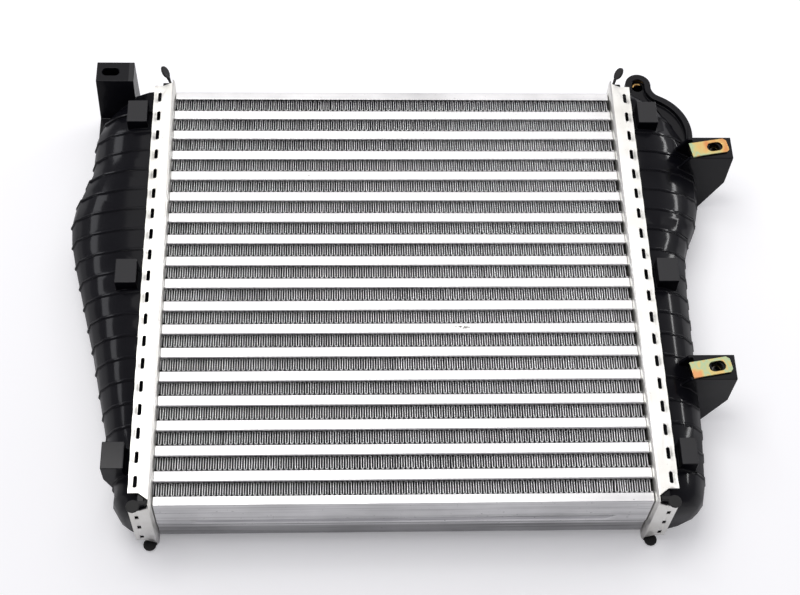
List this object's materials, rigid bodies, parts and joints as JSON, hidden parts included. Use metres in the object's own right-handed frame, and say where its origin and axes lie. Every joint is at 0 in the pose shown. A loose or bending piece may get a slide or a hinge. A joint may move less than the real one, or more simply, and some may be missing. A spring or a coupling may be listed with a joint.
{
  "type": "intercooler",
  "caption": "Flat charge air cooler: a tube-and-fin aluminium core between two slotted header trays, with ribbed black end tanks, mounting arms and round ports at the back.",
  "frame": {"origin": "centre of the core's front face, on the middle tube", "axes": "+X along the tubes to the bracket side, +Y across the tubes to the post side, +Z out of the front face"},
  "size_m": [0.4615, 0.353, 0.0736],
  "materials": {
    "tube_aluminium": "bare rolled aluminium, satin",
    "fin_aluminium": "bare thin strip, satin",
    "plate_aluminium": "bare rolled aluminium, satin",
    "header_aluminium": "pressed sheet, satin",
    "tank_plastic": "black glass-filled plastic, semi-matt",
    "seal_rubber": "matt black",
    "nut_zinc": "yellow zinc with a rainbow tint",
    "insert_brass": "turned"
  },
  "bodies": {
    "root": {"tube_01": "tube_aluminium", "tube_02": "tube_aluminium", "tube_03": "tube_aluminium", "tube_04": "tube_aluminium", "tube_05": "tube_aluminium", "tube_06": "tube_aluminium", "tube_07": "tube_aluminium", "tube_08": "tube_aluminium", "tube_09": "tube_aluminium", "tube_10": "tube_aluminium", "tube_11": "tube_aluminium", "tube_12": "tube_aluminium", "tube_13": "tube_aluminium", "tube_14": "tube_aluminium", "tube_15": "tube_aluminium", "tube_16": "tube_aluminium", "tube_17": "tube_aluminium", "fin_01": "fin_aluminium", "fin_02": "fin_aluminium", "fin_03": "fin_aluminium", "fin_04": "fin_aluminium", "fin_05": "fin_aluminium", "fin_06": "fin_aluminium", "fin_07": "fin_aluminium", "fin_08": "fin_aluminium", "fin_09": "fin_aluminium", "fin_10": "fin_aluminium", "fin_11": "fin_aluminium", "fin_12": "fin_aluminium", "fin_13": "fin_aluminium", "fin_14": "fin_aluminium", "fin_15": "fin_aluminium", "fin_16": "fin_aluminium", "fin_17": "fin_aluminium", "fin_18": "fin_aluminium", "side_plate_far": "plate_aluminium", "side_plate_near": "plate_aluminium", "header_left": "header_aluminium", "header_right": "header_aluminium", "seal_left": "seal_rubber", "seal_right": "seal_rubber", "tank_left": "tank_plastic", "tank_right": "tank_plastic", "spring_nut_1": "nut_zinc", "spring_nut_2": "nut_zinc", "threaded_insert": "insert_brass"}
  },
  "joints": []
}
